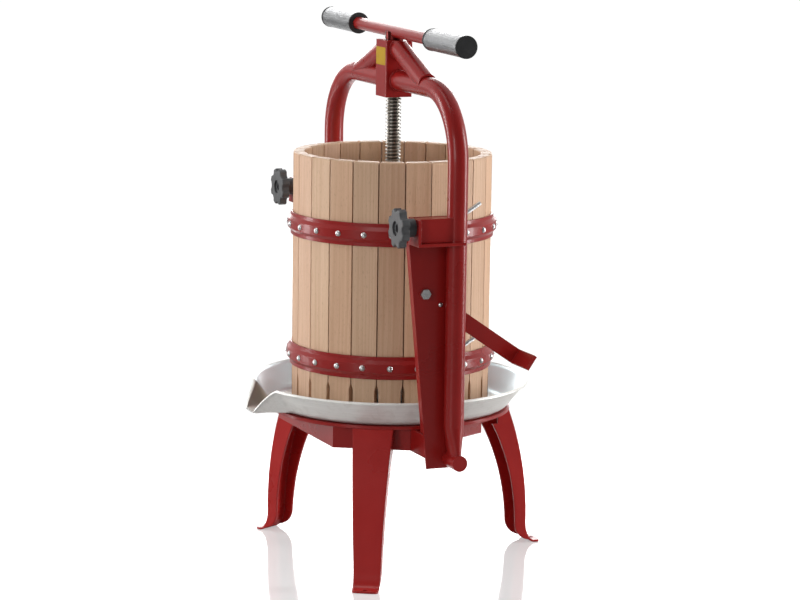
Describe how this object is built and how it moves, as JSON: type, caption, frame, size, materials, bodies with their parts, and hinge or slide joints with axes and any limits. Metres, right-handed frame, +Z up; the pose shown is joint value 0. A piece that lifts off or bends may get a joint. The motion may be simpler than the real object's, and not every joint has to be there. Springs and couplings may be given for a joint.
{
  "type": "screw fruit press",
  "caption": "Hand screw fruit press: slatted wooden basket with riveted hoops on a spouted tray, tripod base, tubular bow with nut, threaded spindle and T-handle.",
  "frame": {"origin": "on the floor, under the screw, at the centre of the three foot holes", "axes": "+Z up along the screw; the spout points to -Y and the bow stands in the XZ plane"},
  "size_m": [0.5848, 0.452, 0.7735],
  "materials": {
    "beech": "planed, unvarnished beech",
    "red_paint": "gloss red powder coat",
    "tray_steel": "brushed stainless sheet",
    "zinc": "bright zinc plate",
    "black_plastic": "black moulded plastic",
    "knob_plastic": "dark grey moulded plastic",
    "screw_steel": "dark oiled steel",
    "plate_steel": "plain steel"
  },
  "bodies": {
    "frame": {"base_ring": "red_paint", "base_skirt": "red_paint", "tray": "tray_steel", "nut_block": "red_paint", "hoop_rivets": "zinc", "rest_arm_bolts": "zinc", "leg_front_right": "red_paint", "leg_front_left": "red_paint", "leg_rear": "red_paint", "hoop_upper_front": "red_paint", "hoop_upper_rear": "red_paint", "hoop_lower_front": "red_paint", "hoop_lower_rear": "red_paint", "stave_01": "beech", "stave_02": "beech", "stave_03": "beech", "stave_04": "beech", "stave_05": "beech", "stave_06": "beech", "stave_07": "beech", "stave_08": "beech", "stave_09": "beech", "stave_10": "beech", "stave_11": "beech", "stave_12": "beech", "stave_13": "beech", "stave_14": "beech", "stave_15": "beech", "stave_16": "beech", "stave_17": "beech", "stave_18": "beech", "stave_19": "beech", "stave_20": "beech", "stave_21": "beech", "stave_22": "beech", "stave_23": "beech", "stave_24": "beech", "upright_right": "red_paint", "upright_left": "red_paint", "rest_arm_right": "red_paint", "rest_arm_left": "red_paint", "pivot_pin_right": "red_paint", "pivot_pin_left": "red_paint", "bow_right": "red_paint", "bow_left": "red_paint", "brace_right": "red_paint", "brace_left": "red_paint"},
    "press": {"press_plate": "plate_steel"},
    "screw": {"spindle": "screw_steel", "handle_bar": "red_paint", "grip_core_right": "black_plastic", "grip_core_left": "black_plastic"},
    "right_grip": {"grip_right": "zinc"},
    "left_grip": {"grip_left": "zinc"},
    "right_knob": {"clamp_knob_right": "knob_plastic"},
    "left_knob": {"clamp_knob_left": "knob_plastic"},
    "pin_upper_right": {"closing_pin_upper_right": "zinc"},
    "pin_upper_left": {"closing_pin_upper_left": "zinc"},
    "pin_lower_right": {"closing_pin_lower_right": "zinc"},
    "pin_lower_left": {"closing_pin_lower_left": "zinc"}
  },
  "joints": [
    {"name": "screw_travel", "type": "slide", "parent": "frame", "child": "press", "axis": [0, 0, 1], "range_m": [0, 0.33]},
    {"name": "screw_turn", "type": "hinge", "parent": "press", "child": "screw", "pos_m": [0, 0, 0.5], "axis": [0, 0, 1], "range_deg": [0, 23760]},
    {"name": "right_grip_spin", "type": "hinge", "parent": "screw", "child": "right_grip", "pos_m": [0, 0, 0.758], "axis": [0.9983, -0.0576, 0], "continuous": true},
    {"name": "left_grip_spin", "type": "hinge", "parent": "screw", "child": "left_grip", "pos_m": [0, 0, 0.758], "axis": [0.9983, -0.0576, 0], "continuous": true},
    {"name": "right_knob_turn", "type": "hinge", "parent": "frame", "child": "right_knob", "pos_m": [0.23202, 0, 0.511], "axis": [0, -1, 0], "range_deg": [0, 3360]},
    {"name": "left_knob_turn", "type": "hinge", "parent": "frame", "child": "left_knob", "pos_m": [-0.23202, 0, 0.511], "axis": [0, -1, 0], "range_deg": [0, 3360]},
    {"name": "pin_upper_right_lift", "type": "slide", "parent": "frame", "child": "pin_upper_right", "axis": [0, 0, 1], "range_m": [0, 0.06]},
    {"name": "pin_upper_left_lift", "type": "slide", "parent": "frame", "child": "pin_upper_left", "axis": [0, 0, 1], "range_m": [0, 0.06]},
    {"name": "pin_lower_right_lift", "type": "slide", "parent": "frame", "child": "pin_lower_right", "axis": [0, 0, 1], "range_m": [0, 0.06]},
    {"name": "pin_lower_left_lift", "type": "slide", "parent": "frame", "child": "pin_lower_left", "axis": [0, 0, 1], "range_m": [0, 0.06]}
  ],
  "couplings": [
    {"joint": "screw_travel", "follows": "screw_turn", "m_per_rad": 0.00079577}
  ]
}
